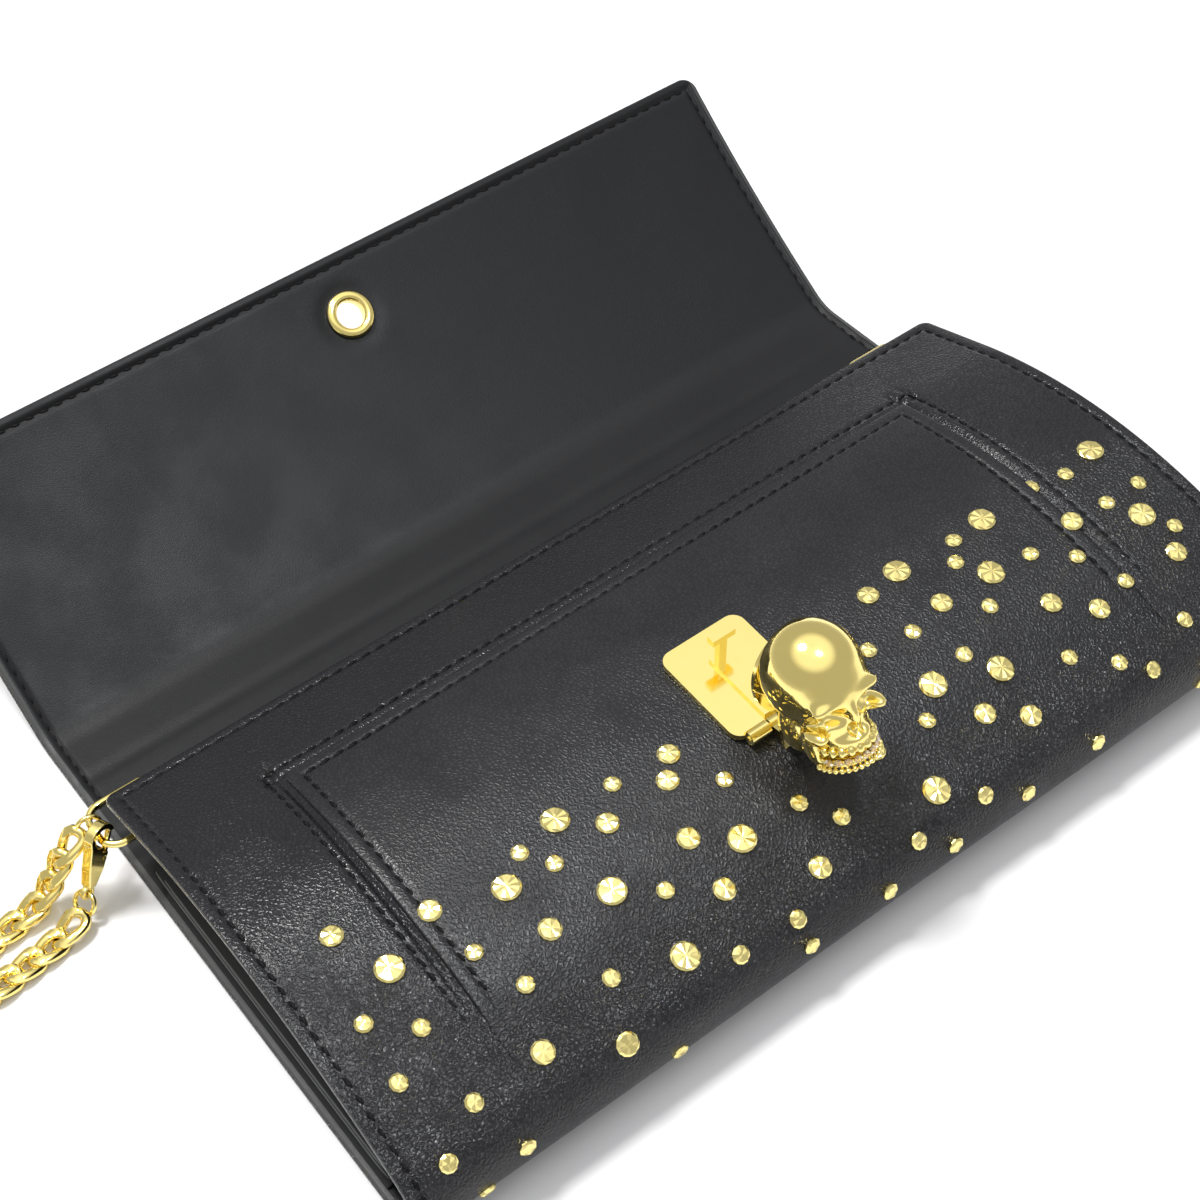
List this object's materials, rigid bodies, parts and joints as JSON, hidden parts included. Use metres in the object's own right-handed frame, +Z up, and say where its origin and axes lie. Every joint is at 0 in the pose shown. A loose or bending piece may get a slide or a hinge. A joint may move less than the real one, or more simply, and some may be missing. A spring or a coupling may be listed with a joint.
{
  "type": "chain wallet",
  "caption": "Long black leather wallet with fold-over flap, scattered gold studs, skull clasp on a hinge, D-rings and a curb-chain strap.",
  "frame": {"origin": "bottom centre of the wallet's box with the flap open, strap left out", "axes": "+X along the wallet's width, +Y from the bottom fold towards the open flap, +Z up from the table"},
  "size_m": [0.2863, 0.173, 0.0549],
  "materials": {
    "outer_leather": "pebbled, semi-gloss",
    "trim_leather": "smooth, semi-gloss",
    "lining_leather": "smooth nappa, satin",
    "stiffener_board": "bonded leather board",
    "zip_fabric": "woven tape",
    "gold_metal": "polished yellow gold plate",
    "backing_steel": "plain plated steel",
    "crystal": "cut, clear"
  },
  "bodies": {
    "wallet": {"front_panel": "outer_leather", "back_panel": "outer_leather", "front_lining": "lining_leather", "back_lining": "lining_leather", "slip_pocket_facing": "outer_leather", "gusset_front_left": "lining_leather", "gusset_front_right": "lining_leather", "gusset_rear_left": "lining_leather", "gusset_rear_right": "lining_leather", "divider_rear_leaf": "lining_leather", "divider_front_leaf": "lining_leather", "divider_binding": "trim_leather", "card_slot_1": "lining_leather", "card_slot_2": "lining_leather", "card_slot_3": "lining_leather", "card_slot_4": "lining_leather", "zip_tape": "zip_fabric", "zip_teeth": "gold_metal", "zip_stops": "gold_metal", "ring_tab_left": "trim_leather", "ring_tab_right": "trim_leather", "clasp_base_plate": "gold_metal", "clasp_post": "gold_metal", "clasp_backing_plate": "backing_steel", "clasp_prongs": "gold_metal", "hinge_pin": "gold_metal", "studs_small": "gold_metal", "studs_medium": "gold_metal", "studs_large": "gold_metal", "jump_ring_fixed": "gold_metal", "jump_ring_clasp": "gold_metal", "lobster_body": "gold_metal", "lobster_pivot": "gold_metal", "chain_run_upper": "gold_metal", "chain_run_lower": "gold_metal", "chain_coil": "gold_metal", "coil_tie": "trim_leather"},
    "spine": {"spine_leather": "outer_leather", "spine_lining": "lining_leather"},
    "flap": {"flap_leather": "outer_leather", "flap_stiffener": "stiffener_board", "flap_lining": "lining_leather", "eyelet": "gold_metal", "eyelet_washer": "gold_metal"},
    "ornament": {"ornament_back": "gold_metal", "ornament_skull": "gold_metal", "ornament_crystals": "crystal"},
    "ring_left": {"d_ring_left": "gold_metal"},
    "ring_right": {"d_ring_right": "gold_metal"},
    "lever": {"lobster_lever": "gold_metal"},
    "slider": {"zip_slider": "gold_metal"},
    "pull": {"zip_pull": "gold_metal"}
  },
  "joints": [
    {"name": "spine_fold", "type": "hinge", "parent": "wallet", "child": "spine", "pos_m": [0.0022, 0.0135, 0.0009], "axis": [1, 0, 0], "range_deg": [0, 88]},
    {"name": "flap_fold", "type": "hinge", "parent": "spine", "child": "flap", "pos_m": [0.0022, 0.028, 0.0009], "axis": [1, 0, 0], "range_deg": [0, 47.2]},
    {"name": "ornament_swing", "type": "hinge", "parent": "wallet", "child": "ornament", "pos_m": [0.0022, -0.05647, 0.02697], "axis": [-1, 0, 0], "range_deg": [-25, 70]},
    {"name": "ring_left_swing", "type": "hinge", "parent": "wallet", "child": "ring_left", "pos_m": [-0.0843, 0.006, 0.0139], "axis": [0, 1, 0], "range_deg": [-3, 3]},
    {"name": "ring_right_swing", "type": "hinge", "parent": "wallet", "child": "ring_right", "pos_m": [0.0887, 0.006, 0.0139], "axis": [0, 1, 0], "range_deg": [-10, 2.5]},
    {"name": "lever_open", "type": "hinge", "parent": "wallet", "child": "lever", "pos_m": [-0.09758, 0.0052, 0.00972], "axis": [0.3746, -0.9272, 0], "range_deg": [0, 10], "stiffness_Nm_per_rad": 0.002, "springref_deg": -5.73},
    {"name": "zip_run", "type": "slide", "parent": "wallet", "child": "slider", "axis": [1, 0, 0], "range_m": [0, 0.14]},
    {"name": "pull_tip", "type": "hinge", "parent": "slider", "child": "pull", "pos_m": [-0.0712, -0.0006, 0.01255], "axis": [0, -1, 0], "range_deg": [0, 21]}
  ],
  "couplings": [
    {"joint": "flap_fold", "follows": "spine_fold", "ratio": 0.533}
  ]
}
